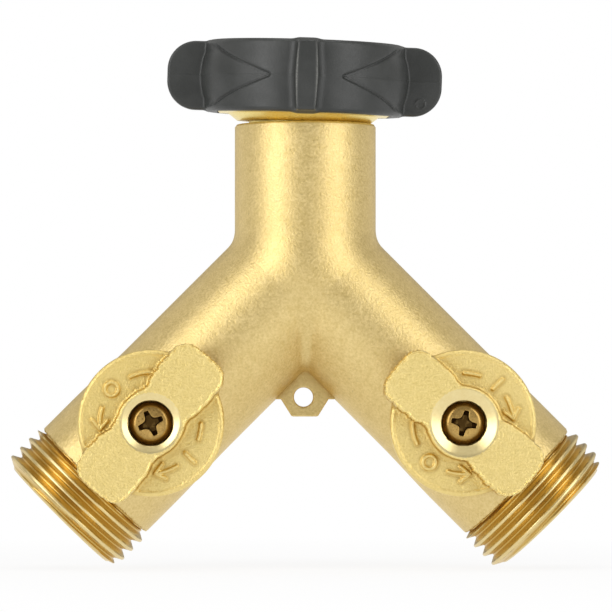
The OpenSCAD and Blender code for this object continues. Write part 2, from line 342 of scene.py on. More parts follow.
def thread_band(crest_r, root_r, low, high, limit, reference):
    """Vertices and faces of a right-handed 60 degree thread between two heights, open at both ends.
    limit(z) is the radius that the end chamfers leave. A crest passes angle 0 at reference."""
    depth = abs(crest_r - root_r)
    out = 1 if crest_r > root_r else -1
    steps = THREAD_STEPS
    flat, bevel = 0.12, 0.07                   # half the crest's flat, and how deep its rounding is
    root = 0.17 + depth * math.tan(math.radians(30))
    flank_from, flank_to = flat + 0.11, root - 0.06
    half = [(-flat, crest_r), (flat, crest_r), (flank_from, crest_r - out * bevel)]
    for share in (0.25, 0.5, 0.75):
        half.append((flank_from + (flank_to - flank_from) * share,
                     crest_r - out * (bevel + (depth - 2 * bevel) * share)))
    half += [(flank_to, root_r + out * bevel), (root + 0.05, root_r)]
    turn = half + [(THREAD_PITCH - a, r) for a, r in reversed(half[2:])]
    first = math.floor((low - reference) / THREAD_PITCH) - 1
    last = math.ceil((high - reference) / THREAD_PITCH) + 1
    offsets = np.array([reference + k * THREAD_PITCH + a for k in range(first, last) for a, _ in turn])
    radii = np.array([r for _ in range(first, last) for _, r in turn])
    angles = np.linspace(0, 2 * math.pi, steps, endpoint=False)
    z = np.clip(offsets[:, None] + THREAD_PITCH * angles[None] / (2 * math.pi), low, high)
    bound = limit(z)
    r = np.minimum(radii[:, None], bound) if out > 0 else np.maximum(radii[:, None], bound)
    verts = np.stack([r * np.cos(angles), r * np.sin(angles), z], -1).reshape(-1, 3)
    rows, shift = len(offsets), len(turn)
    i, j = np.meshgrid(np.arange(rows - 1), np.arange(steps), indexing="ij")
    wrap = (j == steps - 1)
    following = np.where(wrap, (i + shift) * steps, i * steps + j + 1)
    keep = (~wrap) | (i + 1 + shift < rows)
    quads = np.stack([i * steps + j, following, following + steps, i * steps + j + steps], -1)[keep]
    if out < 0:
        quads = quads[:, ::-1]
    return verts, quads


def welded(parts, near=1e-4):
    """Joins (verts, faces) parts, merges vertices that meet and drops faces with no area."""
    verts, faces, start = [], [], 0
    for v, f in parts:
        verts.append(v)
        faces += (np.asarray(f) + start).tolist()
        start += len(v)
    verts = np.concatenate(verts)
    _, first, index = np.unique(np.round(verts / near).astype(np.int64), axis=0,
                                return_index=True, return_inverse=True)
    index = index.reshape(-1)
    kept = []
    for face in faces:
        ring = [int(index[k]) for k in face]
        ring = [a for n, a in enumerate(ring) if a != ring[n - 1]]
        if len(ring) > 2 and len(set(ring)) == len(ring):
            kept.append(ring)
    used = sorted({k for ring in kept for k in ring})
    place = {k: n for n, k in enumerate(used)}
    return verts[first[used]], [[place[k] for k in ring] for ring in kept]


# ---------------------------------------------------------------- materials

def new_material(name):
    material = bpy.data.materials.new(name)
    material.use_nodes = True
    nodes = material.node_tree.nodes
    nodes.clear()
    output = nodes.new("ShaderNodeOutputMaterial")
    shader = nodes.new("ShaderNodeBsdfPrincipled")
    material.node_tree.links.new(shader.outputs[0], output.inputs[0])
    return material, shader


class Nodes:
    """Short calls for the nodes of one material. Sizes are in millimetres of the object."""

    def __init__(self, material):
        self.tree = material.node_tree
        self.place = self.make("ShaderNodeTexCoord").outputs["Object"]

    def make(self, kind, **values):
        node = self.tree.nodes.new(kind)
        for name, value in values.items():
            setattr(node, name, value)
        return node

    def link(self, source, socket):
        if isinstance(source, bpy.types.NodeSocket):
            self.tree.links.new(source, socket)
        else:
            socket.default_value = source

    def noise(self, size, detail, rough):
        """Noise from 0 to 1 with features about size millimetres wide."""
        mapping = self.make("ShaderNodeMapping")
        mapping.inputs["Scale"].default_value = [1 / (size * MM)] * 3
        self.link(self.place, mapping.inputs["Vector"])
        node = self.make("ShaderNodeTexNoise")
        self.link(mapping.outputs[0], node.inputs["Vector"])
        node.inputs["Scale"].default_value = 1.0
        node.inputs["Detail"].default_value = detail
        node.inputs["Roughness"].default_value = rough
        return node.outputs[0]

    def ramp(self, source, *stops):
        """A colour that goes from the first of two (place, colour) stops to the second."""
        node = self.make("ShaderNodeValToRGB")
        for element, (at, colour) in zip(node.color_ramp.elements, stops):
            element.position = at
            element.color = (*colour, 1)
        self.link(source, node.inputs[0])
        return node.outputs[0]

    def spread(self, source, low, high, to_low=0.0, to_high=1.0):
        """source from low to high, moved to the range from to_low to to_high and kept in it."""
        node = self.make("ShaderNodeMapRange")
        for k, value in enumerate((low, high, to_low, to_high)):
            node.inputs[k + 1].default_value = value
        self.link(source, node.inputs[0])
        return node.outputs[0]

    def math(self, operation, a, b):
        node = self.make("ShaderNodeMath", operation=operation)
        self.link(a, node.inputs[0])
        self.link(b, node.inputs[1])
        return node.outputs[0]

    def painted(self, name):
        """A number that paint() stored on the mesh."""
        return self.make("ShaderNodeAttribute", attribute_name=name).outputs["Fac"]

    def mix(self, share, a, b):
        """Colour a, turning into b as share goes from 0 to 1."""
        node = self.make("ShaderNodeMix", data_type="RGBA")
        self.link(share, node.inputs[0])
        self.link(a, node.inputs[6])
        self.link((*b, 1), node.inputs[7])
        return node.outputs[2]

    def bump(self, height, depth, under=None):
        """Bump of a height from 0 to 1, depth millimetres deep."""
        node = self.make("ShaderNodeBump")
        node.inputs["Distance"].default_value = depth * MM
        self.link(height, node.inputs["Height"])
        if under is not None:
            self.link(under, node.inputs["Normal"])
        return node.outputs[0]


def tint(colour, shares):
    """A colour with its red, green and blue each multiplied by a share."""
    return tuple(c * s for c, s in zip(colour, shares))


def brass(name, dark, light, rough, grain, grain_depth, specks=0.0, crest=False, painted_shade=False,
          shade_tint=(0.62, 0.50, 0.30), peel=0.45):
    """Brass with a fine grain. rough is (smoothest, roughest), grain and grain_depth millimetres,
    shade_tint the painted shade's tint, and peel the share of the grain's depth that the coarser ripple of
    the skin has. specks adds dark specks, crest a thread's tops paled by wear and painted shade in its
    roots and on its flanks, painted_shade the painted shade that the mesh stores."""
    material, shader = new_material(name)
    n = Nodes(material)
    fine = n.noise(grain, 3.0, 0.65)
    patch = n.noise(grain * 4, 4.0, 0.65)
    broad = n.noise(26.0, 2.0, 0.5)
    tone = n.math("ADD", n.math("MULTIPLY", patch, 0.25), n.math("MULTIPLY", fine, 0.55))
    tone = n.math("ADD", tone, n.math("MULTIPLY", broad, 0.2))
    colour = n.ramp(tone, (0.36, dark), (0.64, light))
    if specks:
        spots = n.noise(0.8, 2.0, 0.7)
        mask = n.spread(spots, 0.68, 0.76, 0.0, specks)
        colour = n.mix(mask, colour, tint(dark, (0.4, 0.4, 0.4)))
    if crest:
        height = n.painted("crest")
        # painted shade: darker roots, and a darker band down the flanks below each crest; the paler, greyer
        # tops are wear
        root = tint(dark, (0.80, 0.68, 0.46))
        colour = n.mix(n.spread(height, 0.0, 0.85, 0.8, 0.0), colour, root)
        wear_and_highlight = tint(light, (0.88, 0.90, 1.15))
        colour = n.mix(n.spread(height, 0.88, 1.0, 0.0, 0.5), colour, wear_and_highlight)
        rim = n.math("MULTIPLY", n.spread(height, 0.60, 0.74), n.spread(height, 0.96, 0.84))
        rim = n.math("MULTIPLY", rim, n.spread(patch, 0.46, 0.60, 0.1, 0.75))
        colour = n.mix(rim, colour, tint(dark, (0.42, 0.34, 0.25)))
    if painted_shade:
        # painted shade: the colour darkens towards the shade's tint where the mesh's stored number is high,
        # patchily over the noise
        shade_share = n.math("MULTIPLY", n.painted("painted_shade"), n.spread(patch, 0.35, 0.65, 0.45, 1.0))
        colour = n.mix(shade_share, colour, tint(dark, shade_tint))
    n.link(colour, shader.inputs["Base Color"])
    n.link(n.spread(fine, 0.3, 0.7, *rough), shader.inputs["Roughness"])
    shader.inputs["Metallic"].default_value = 1.0
    normal = n.bump(fine, grain_depth)
    normal = n.bump(patch, grain_depth * peel, normal)
    n.link(normal, shader.inputs["Normal"])
    return material


def plain(name, dark, light, rough, grain, grain_depth, metallic=0.0, wear_and_highlight=None):
    """Anything but brass. wear_and_highlight is the colour of a painted highlight along its edges."""
    material, shader = new_material(name)
    n = Nodes(material)
    fine = n.noise(grain, 3.0, 0.6)
    patch = n.noise(grain * 14, 2.0, 0.5)
    colour = n.ramp(patch, (0.35, dark), (0.65, light))
    if wear_and_highlight:
        # painted highlight: a paler colour where the mesh's stored number marks an edge
        painted_highlight = n.math("MULTIPLY", n.painted("painted_highlight"), n.spread(fine, 0.35, 0.6, 0.4, 1.0))
        colour = n.mix(painted_highlight, colour, wear_and_highlight)
    n.link(colour, shader.inputs["Base Color"])
    n.link(n.spread(fine, 0.3, 0.7, *rough), shader.inputs["Roughness"])
    shader.inputs["Metallic"].default_value = metallic
    n.link(n.bump(fine, grain_depth), shader.inputs["Normal"])
    return material


# The cast, die-cast and screw brasses below darken with painted shade where their meshes store it.
CAST = brass("sandblasted_brass", (0.64, 0.48, 0.185), (0.82, 0.65, 0.31), (0.38, 0.52), 0.42, 0.075,
             specks=0.3, painted_shade=True)
TURNED = brass("turned_brass", (0.72, 0.54, 0.19), (0.86, 0.69, 0.31), (0.28, 0.38), 0.5, 0.008,
               crest=True)
LIP = brass("bright_brass", (0.80, 0.64, 0.20), (0.90, 0.74, 0.30), (0.26, 0.36), 0.5, 0.010)
DIECAST = brass("die_cast_brass", (0.78, 0.60, 0.21), (0.94, 0.76, 0.33), (0.36, 0.48), 0.36, 0.075,
                specks=0.3, painted_shade=True, peel=2.4)
SPOTTED = brass("spot_faced_brass", (0.79, 0.64, 0.30), (0.86, 0.72, 0.37), (0.30, 0.38), 0.5, 0.006)
BRONZE = brass("bronzed_steel", (0.40, 0.24, 0.07), (0.66, 0.44, 0.14), (0.26, 0.36), 0.35, 0.015,
               painted_shade=True, shade_tint=(0.22, 0.20, 0.18))
# The plastic's pale edge colour is a painted highlight.
PLASTIC = plain("black_nylon", (0.023, 0.025, 0.023), (0.034, 0.036, 0.034), (0.36, 0.50), 0.28, 0.024,
                wear_and_highlight=(0.17, 0.17, 0.155))
RUBBER = plain("black_rubber", (0.020, 0.020, 0.021), (0.032, 0.032, 0.033), (0.62, 0.78), 0.25, 0.02)
SEAT = plain("white_seat", (0.78, 0.77, 0.74), (0.86, 0.85, 0.82), (0.38, 0.48), 0.4, 0.006)
CHROME = plain("chrome", (0.60, 0.61, 0.62), (0.68, 0.69, 0.70), (0.06, 0.12), 0.8, 0.002, metallic=1.0)
STEEL = plain("spring_steel", (0.42, 0.42, 0.43), (0.55, 0.55, 0.56), (0.28, 0.38), 0.4, 0.006,
              metallic=1.0)


# ---------------------------------------------------------------- the wye

UP = np.array([0.0, 0.0, 1.0])
FRONT = np.array([0.0, -1.0, 0.0])
HUB_FILLET = 1.3
PAD_R, PAD_H, PAD_FILLET = 10.5, 14.0, 1.2
POST_R, POST_RISE = 1.1, 1.3                                 # the lever's stop, above its pad
STOP_RING = 8.2                                              # its distance from the stem's axis
CHAMBER = (STEM_STATION - 9.1, STEM_STATION + 9.1)           # of the ball and its seats
BORE_R, CHAMBER_R, RETAINER_R = 7.8, 9.3, 10.15              # a leg's bore, from the hub outwards
SOCKET_R, SOCKET_FROM = 8.4, 7.6                             # room for the spigot, above the hub
STEM_HOLE = ((5.35, 10.2), (4.05, 16))                       # radius and height of each step
PAST_NECK, PAST_LEG = 30, 60                                 # where a cut is past the casting
LUG_HALF, LUG_FOOT, LUG_HALF_THICK = 4.27, 3.45, 1.5
LUG_HOLE = np.array(MOUNTS["hang_hole"]["pos_m"]) / MM
LUG_HOLE_R = 1.7


def add_piece(name, body, slot, nodes, verts, faces, materials, **looks):
    """A piece in place of CAD nodes, moving with a body. slot is not used."""
    piece = make_mesh(name, verts, faces, materials, **looks)
    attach(piece, body)
    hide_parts(*nodes)
    return piece


def limb(p, direction, end, end_r, edge):
    """A round bar from the hub outwards, with a ball at the hub and its far end's radius end_r."""
    d = p - HUB
    along = d @ direction
    across = np.sqrt(np.maximum((d * d).sum(1) - np.maximum(along, 0) ** 2, 0))
    radius = LEG_R + (end_r - LEG_R) * ease((along - STEM_STATION + TAPER / 2) / TAPER)
    return corner(across - radius, along - end, edge)


def paint(piece, name, values):
    """Stores one number a vertex for a material to read."""
    attribute = piece.data.attributes.new(name, "FLOAT", "POINT")
    attribute.data.foreach_set("value", np.asarray(values, np.float32))


def casting(p):
    """The cast body with its bores, without the lug."""
    leg = {s: limb(p, LEG_DIR[s], THREAD_FROM + LEG_MORE[s], OUTLET_R, 0.3) for s in SIDES}
    neck = limb(p, UP, NECK_TOP - HUB[2], LEG_R, 0.25)
    solid = smooth_union(smooth_union(leg["left"], leg["right"], HUB_FILLET), neck, HUB_FILLET)
    for side in SIDES:
        pad = rod(p, STEM[side], FRONT, PAD_R, 0, PAD_H, 0.4)
        solid = smooth_union(solid, pad, PAD_FILLET)
        post = STEM[side] + post_offset(side)
        solid = np.minimum(solid, rod(p, post, FRONT, POST_R, PAD_H - 2, PAD_H + POST_RISE, 0.2))
    water = np.minimum(rod(p, HUB, UP, NECK_BORE_R, -3, PAST_NECK, 0.1),
                       rod(p, HUB, UP, SOCKET_R, SOCKET_FROM, PAST_NECK, 0.1))
    for side in SIDES:
        for radius, low, high in ((BORE_R, -1, CHAMBER[1]), (CHAMBER_R, *CHAMBER),
                                  (RETAINER_R, CHAMBER[1], PAST_LEG)):
            water = np.minimum(water, rod(p, HUB, LEG_DIR[side], radius, low, high, 0.1))
        for radius, high in STEM_HOLE:
            water = np.minimum(water, rod(p, STEM[side], FRONT, radius, 0, high, 0.1))
    return corner(solid, -water, 0.15)


def valve_axes(side):
    """Local x runs outwards along the leg, local z to the front."""
    return np.stack([LEG_DIR[side], np.cross(FRONT, LEG_DIR[side]), FRONT], 1)


def post_offset(side):
    """The lever stop's place on the pad, from the stem's axis."""
    angle = math.radians(150)
    return valve_axes(side) @ np.array([STOP_RING * math.cos(angle), STOP_RING * math.sin(angle), 0])


def lug(p):
    """The plate between the legs, narrower at its foot, with a small web to the legs and a hole."""
    plate_left, hole_left = 0.1, 0.32
    web_half, web_low, top, edge = 5.4, -0.4, 11.0, 0.2
    x, y, z = np.abs(p[:, 0] + plate_left), p[:, 1], p[:, 2] - LUG_HOLE[2]
    slope = np.array([3.1, -1.94]) / math.hypot(3.1, 1.94)
    sides = corner(x - LUG_HALF, (x - LUG_HALF) * slope[0] + (z + 0.3) * slope[1], edge)
    outline = corner(sides, -LUG_FOOT - z, edge)
    web = np.maximum(x - web_half, web_low - z)
    outline = np.maximum(np.minimum(outline, web), z - top)
    plate = corner(outline, np.abs(y) - LUG_HALF_THICK, 0.25)
    return corner(plate, LUG_HOLE_R - np.hypot(p[:, 0] + hole_left, z), 0.3)


def cast_pieces():
    """The casting and its lug, with painted shade where they meet."""
    low, high = np.array([-47.5, -16.2, -80.0]), np.array([47.5, 13.6, -5.4])
    verts, faces, normals = surface(casting, low, high, GRID["casting"])
    piece = add_piece("wye_casting", "wye", "cast_brass", ["wye_body"], verts, faces, [CAST],
                      normals=normals)
    # painted shade on the casting in the crease round the lug
    paint(piece, "painted_shade", 0.7 * fade(lug(verts), 0.35))

    low, high = np.array([-6.0, -2.3, LUG_HOLE[2] - 4.4]), np.array([6.0, 2.3, LUG_HOLE[2] + 12.0])
    verts, faces, normals = surface(lug, low, high, GRID["lug"])
    piece = add_piece("hanging_lug", "wye", "cast_brass", ["wye_body"], verts, faces, [CAST],
                      normals=normals)
    # painted shade on the lug where it meets the legs
    paint(piece, "painted_shade", 0.9 * fade(casting(verts), 0.9))


def outlet(side):
    """The threaded end of a leg: helical thread, end face and the mouth's wall."""
    start, end = THREAD_FROM + LEG_MORE[side], LEG_END + LEG_MORE[side]
    undercut_r, end_r = MALE_ROOT_R - 0.12, MALE_ROOT_R - 0.25
    sleeve_r = RETAINER_R - 0.05               # the wall inside the casting's bore
    bevel, slope = 0.25, 3                     # of the thread's two ends

    def limit(z):
        return np.minimum(undercut_r + np.maximum(z - start - bevel, 0) * slope,
                          end_r + (end - bevel - z) * slope)

    band = thread_band(MALE_CREST_R, MALE_ROOT_R, start, end - bevel, limit, start + 0.05)
    rest = [(end_r, end - bevel), (end_r - 0.2, end), (MOUTH_R + 0.35, end), (MOUTH_R + 0.1, end - 0.1),
            (MOUTH_R, end - 0.35), (MOUTH_R, end - 4), (MOUTH_R, start - 2.9), (sleeve_r, start - 2.9),
            (sleeve_r, start - 0.3), (undercut_r, start - 0.3), (undercut_r, start)]
    verts, faces = welded([band, lathe(rest, THREAD_STEPS, closed=False)])
    radii = np.hypot(verts[:, 0], verts[:, 1])
    crest = np.clip((radii - MALE_ROOT_R) / (MALE_CREST_R - MALE_ROOT_R), 0, 1)
    crest[verts[:, 2] > end - 0.3] = 1
    crest[radii < MOUTH_R + 0.5] = 1
    verts = placed(verts, axes_of(LEG_DIR[side], FRONT), HUB)
    piece = add_piece(f"{side}_outlet", "wye", "machined_brass", ["wye_body"], verts, faces, [TURNED],
                      smooth_angle=38)
    paint(piece, "crest", crest)


def spigot():
    """The tube that the nut turns on, with its ring groove and a tail down the neck's socket."""
    groove_low, groove_high = RING_LOW[2] - 0.05, RING_HIGH[2] + 0.05
    groove_r, tail_r, tail_low, shoulder = 9.3, 8.35, HUB[2] + 8.5, NECK_TOP - 1.0
    profile = rounded([
        (SPIGOT_R, shoulder, 0), (SPIGOT_R, groove_low), (groove_r, groove_low),
        (groove_r, groove_high), (SPIGOT_R, groove_high), (SPIGOT_R, SPIGOT_TOP),
        (NECK_BORE_R, SPIGOT_TOP, 0.4), (NECK_BORE_R, tail_low, 0), (tail_r, tail_low, 0),
        (tail_r, shoulder, 0)], 0.12)
    verts, faces = lathe(profile, THREAD_STEPS)
    add_piece("spigot", "wye", "cast_brass", ["wye_body"], verts, faces, [LIP], smooth_angle=35)


cast_pieces()
for side in SIDES:
    outlet(side)
spigot()


# ---------------------------------------------------------------- swivel nut, collar and washer

LEAN_CENTRE = np.array([0.0, 0.0, -4.8])
LEAN_ROLL, LEAN_NOD = math.radians(1.75), math.radians(2.3)
LEAN_SHIFT = np.array([-0.32, 0.0, -0.18])
NOD_COS, NOD_SIN = math.cos(LEAN_NOD), math.sin(LEAN_NOD)
ROLL_COS, ROLL_SIN = math.cos(LEAN_ROLL), math.sin(LEAN_ROLL)
LEAN = np.array([[1, 0, 0], [0, NOD_COS, -NOD_SIN], [0, NOD_SIN, NOD_COS]]) \
    @ np.array([[ROLL_COS, 0, ROLL_SIN], [0, 1, 0], [-ROLL_SIN, 0, ROLL_COS]])


def leaning(points):
    """The loose swivel end hangs a little to one side and forwards on its ring."""
    return (points - LEAN_CENTRE) @ LEAN.T + LEAN_CENTRE + LEAN_SHIFT


def octagon(angles):
    """Radius of an octagon over the radius to its flats."""
    return 1 / np.cos((angles + math.pi / 8) % (math.pi / 4) - math.pi / 8)


def swivel_nut():
    """Round inside and at its bevelled lip, and eight-sided where the collar grips it."""
    flats, top, foot, floor_z = 15.2, NUT_HIGH[2], NUT_LOW[2], -4.4
    lip_top = COLLAR_LOW[2]
    start, lead_in, run_out = 0.0, 1.2, 0.35   # of the thread
    bevel_r = FEMALE_ROOT_R + 0.05
    hole_r = SPIGOT_R + 0.15
    foot_r, lip_low_r, lip_high_r = 11.75, 12.1, 13.5

    def limit(z):
        beyond = np.maximum(z - (top - lead_in), 0) / lead_in + np.maximum(start + run_out - z, 0) / run_out
        return FEMALE_CREST_R + beyond * (bevel_r - FEMALE_CREST_R)

    band = thread_band(FEMALE_CREST_R, FEMALE_ROOT_R, start, top, limit, 0.0)
    rest = [(bevel_r, start), (bevel_r, floor_z, 0), (hole_r + 0.2, floor_z, 0),
            (hole_r, floor_z - 0.2, 0), (hole_r, foot + 0.2, 0), (hole_r + 0.2, foot, 0),
            (foot_r, foot, 0), (lip_low_r, foot + 0.25, 0), (lip_high_r, lip_top - 0.05, 0),
            (flats - 0.3, lip_top, 1), (flats, lip_top + 0.3, 1), (flats, top - 0.4, 1),
            (flats - 0.5, top, 1), (bevel_r + 0.15, top), (bevel_r, top)]
    verts, faces = welded([band, lathe(rest, THREAD_STEPS, octagon, closed=False)])
    add_piece("inlet_nut", "swivel", "machined_brass", ["swivel_nut"], leaning(verts), faces, [LIP],
              smooth_angle=30)


COLLAR_MID = (COLLAR_LOW[2] + COLLAR_HIGH[2]) / 2
COLLAR_HALF = (COLLAR_HIGH[2] - COLLAR_LOW[2]) / 2
COLLAR_R, BODY_DRAFT = 17.55, 0.22                           # of the round body, at its ends
EAR_REACH, EAR_BEND, EAR_HALF, EAR_DRAFT = 24.35, 5.1, 1.6, 0.2
RIB_REACH, RIB_HALF, RIB_DRAFT = 20.3, 1.6, 0.42
EJECTOR = (20.6, -3.9, 0.85)                                 # x, z and radius of the ring it left
NUT_SPACE = 15.25                                            # from the axis to its flats


def collar(p):
    """A round body with a rib at the front and back, an ear at each side and four grip hollows."""
    x, y, z = p[:, 0], p[:, 1], p[:, 2] - COLLAR_MID
    ax, ay, az = np.abs(x), np.abs(y), np.abs(z)
    r = np.hypot(x, y)
    angle = np.degrees(np.arctan2(ax, np.maximum(ay, 1e-6)))
    draft = 1 - az / COLLAR_HALF
    # a grip hollow opens from a point near each rib towards the ears, with a groove for its edge
    opening = (angle - 21) / 43
    inside = (4.9 * opening - az) * 0.93
    into = ease(inside / 0.5) * ease((angle - 20) / 4)
    swell = ease((angle - 28) / 50) * (1 - (az / 5.6) ** 2)
    hollow = into * (-0.42 + 1.05 * np.maximum(swell, 0))
    hollow *= 1 - ease((angle - 60) / 14) * ease((az - 3.2) / 1.4)
    groove = -0.45 * ridge(inside, 0.27) * ease((angle - 20) / 2) * ease((67 - angle) / 6)
    seam = 0.05 * ridge(z, 0.09)
    body_r = COLLAR_R + BODY_DRAFT * draft + hollow + groove + seam
    body = corner(r - body_r, az - COLLAR_HALF, 0.8)
    ex, ez = ax - (EAR_REACH - EAR_BEND), az - (COLLAR_HALF - 0.25 - EAR_BEND)
    ear = np.hypot(np.maximum(ex, 0), np.maximum(ez, 0)) + np.minimum(np.maximum(ex, ez), 0) - EAR_BEND
    ejector_x, ejector_z, ejector_r = EJECTOR
    ejector = 0.10 * ridge(np.hypot(x - ejector_x, z - ejector_z) - ejector_r, 0.16) * (y < 0)
    ear = corner(ear, ay - (EAR_HALF + EAR_DRAFT * draft + ejector + seam * (ax > 18)), 0.45)
    rib = corner(ay - RIB_REACH, az - COLLAR_HALF + 0.25, 0.5)
    rib = corner(rib, ax - (RIB_HALF + RIB_DRAFT * draft), 0.35)
    solid = smooth_union(body, rib, 1.5)
    solid = smooth_union(solid, np.maximum(ear, 14 - ax), 0.5)
    turned = np.maximum(np.abs(x + y), np.abs(x - y)) * DIAGONAL
    flats = np.maximum(np.maximum(ax, ay), turned) - NUT_SPACE
    return corner(solid, -flats, 0.3)


def grip_collar():
    """The collar, with a painted highlight along the ribs' long edges."""
    margin = 1.0
    verts, faces, normals = surface(collar, COLLAR_LOW - margin, COLLAR_HIGH + margin, GRID["collar"])
    x, y = np.abs(verts[:, 0]), np.abs(verts[:, 1])
    piece = add_piece("collar", "swivel", "black_plastic", ["grip_collar"], leaning(verts), faces,
                      [PLASTIC], normals=normals @ LEAN.T)
    # painted highlight: a pale line along each long edge of the front and back ribs
    paint(piece, "painted_highlight", ridge(x - RIB_HALF - 0.15, 0.16) * ease((y - RIB_REACH + 0.7) / 0.4))


def hose_washer():
    """A flat washer with a shallow groove round its upper face."""
    low, high = WASHER_LOW[2], WASHER_HIGH[2]
    outer_r, inner_r, groove_floor = 13.1, 8.0, high - 0.3
    profile = rounded([(outer_r, low), (outer_r, high), (11.9, high, 0.2), (11.6, groove_floor, 0.2),
                       (9.4, groove_floor, 0.2), (9.1, high, 0.2), (inner_r, high), (inner_r, low)], 0.45)
    verts, faces = lathe(profile)
    add_piece("washer", "swivel", "rubber", ["hose_washer"], verts, faces, [RUBBER], smooth_angle=50)


def snap_ring():
    """A split ring of rectangular wire with rounded edges."""
    low, high = RING_LOW[2], RING_HIGH[2]
    inner_r, outer_r, half_gap = 9.35, 11.2, math.radians(17)
    section = rounded([(outer_r, low), (outer_r, high), (inner_r, high), (inner_r, low)], 0.2)
    angles = np.linspace(half_gap, 2 * math.pi - half_gap, 120)
    rows = np.array([[(r * math.cos(a), r * math.sin(a), z) for r, z in section] for a in angles])
    count = len(section)
    faces = [[i * count + j, (i + 1) * count + j, (i + 1) * count + (j + 1) % count,
              i * count + (j + 1) % count] for i in range(len(angles) - 1) for j in range(count)]
    last = (len(angles) - 1) * count
    faces += [list(range(count)), [last + j for j in reversed(range(count))]]
    add_piece("retaining_ring", "wye", "ring_steel", ["snap_ring"], rows.reshape(-1, 3), faces,
              [STEEL], smooth_angle=40)


swivel_nut()
grip_collar()
hose_washer()
snap_ring()


# ---------------------------------------------------------------- levers and their screws

DISC_LOW, DISC_TOP, BAR_TOP = 14.3, 16.9, 20.3               # in front of the leg's axis
DISC_R, BEAD_RING = 12.75, 12.1
BAR_HALF_LONG, BAR_HALF_WIDE, BAR_BEND = 15.3, 5.35, 2.5
BAR_SKEW = math.radians(4.8)
WELL_R, WELL_FLOOR, BOLT_R = 3.95, 17.4, 1.95                # the screw's well and the hole below it
CONE_WIDE = {"left": 1.4, "right": 2.1}                      # machined deeper on the right lever
CONE_SLOPE = 0.5
SQUARE_HALF, SQUARE_DEEP = 2.85, 2.25                        # the hole for the stem's end
SLOT_HALF_WIDE, SLOT_DEEP = 1.45, 1.7                        # round the stop post
SLOT_MIDDLE, SLOT_HALF_ANGLE = 105, 56.2
RIPPLE_PHASE = {"left": 0.4, "right": 2.3}                   # so that the ragged edges differ
MARK_HALF_WIDE = 0.48
HEAD_R, HEAD_HIGH, HEAD_CURVE, SHANK_R = 3.8, 1.9, 0.035, 1.72
CROSS_ANGLE = {"left": -22, "right": 32}


def stroke(x, y, a, b):
    """Distance in the plane to a straight stroke between two points."""
    ab = np.subtract(b, a)
    along = np.clip(((x - a[0]) * ab[0] + (y - a[1]) * ab[1]) / (ab @ ab), 0, 1)
    return np.hypot(x - a[0] - along * ab[0], y - a[1] - along * ab[1])


def polar(radius, degrees):
    """A point of the plane."""
    return np.array([radius * math.cos(math.radians(degrees)), radius * math.sin(math.radians(degrees))])


def arc_stroke(x, y, radius, start, end):
    """Distance to an arc between two angles."""
    middle, half = (start + end) / 2, abs(end - start) / 2
    away = (np.degrees(np.arctan2(y, x)) - middle + 180) % 360 - 180
    over = np.radians(np.maximum(np.abs(away) - half, 0)) * radius
    return np.hypot(np.hypot(x, y) - radius, over)


def arrow(x, y, radius, tip_at, barbs_at):
    """Distance to an arrowhead on a circle, from one angle to another."""
    tip = polar(radius, tip_at)
    return np.minimum(stroke(x, y, tip, polar(radius + 1.2, barbs_at)),
                      stroke(x, y, tip, polar(radius - 1.3, barbs_at)))


def marks(x, y):
    """Distance to the raised marks on the disc: a line for open and a ring for closed, each between
    a dash and an arrow that show the way to turn."""
    ring_x, ring_y = polar(9.0, 274)
    return np.minimum.reduce([
        arc_stroke(x, y, 8.7, 134, 116), stroke(x, y, polar(7.9, 94), polar(10.2, 93)),
        arc_stroke(x, y, 8.7, 76, 54), arrow(x, y, 8.7, 50, 60),
        arc_stroke(x, y, 8.8, 224, 249), np.abs(np.hypot(x - ring_x, y - ring_y) - 1.15),
        arc_stroke(x, y, 8.8, 298, 317), arrow(x, y, 8.9, 322, 312)])


def bar_outline(x, y, phase, boss_r):
    """Distance in the plane to the finger bar's edge, and the coordinates along and across it."""
    u = x * math.cos(BAR_SKEW) + y * math.sin(BAR_SKEW)
    v = y * math.cos(BAR_SKEW) - x * math.sin(BAR_SKEW)
    ripple = 0.10 * np.sin(1.9 * u + phase) + 0.07 * np.sin(4.3 * u + 2 * phase) \
        + 0.06 * np.sin(9.1 * u + 5 * phase) + 0.04 * np.sin(15.7 * u)
    below = v < 0
    waist = 0.62 * ridge(np.abs(u) - 4.4, 2.1)
    wide = BAR_HALF_WIDE - waist + np.where(below, 1.0, 0.4) * ripple
    wide = wide + 0.25 * ridge(u - 11, 2.5) * below
    rough_end = 0.05 * np.sin(5.0 * v + phase) + 0.05 * np.sin(11.0 * v)
    ends = np.abs(u) - (BAR_HALF_LONG - 0.02 * v * v + rough_end)
    outline = corner(ends, np.abs(v) - wide, BAR_BEND)
    return smooth_union(outline, np.hypot(x, y) - boss_r, 0.8), u, v


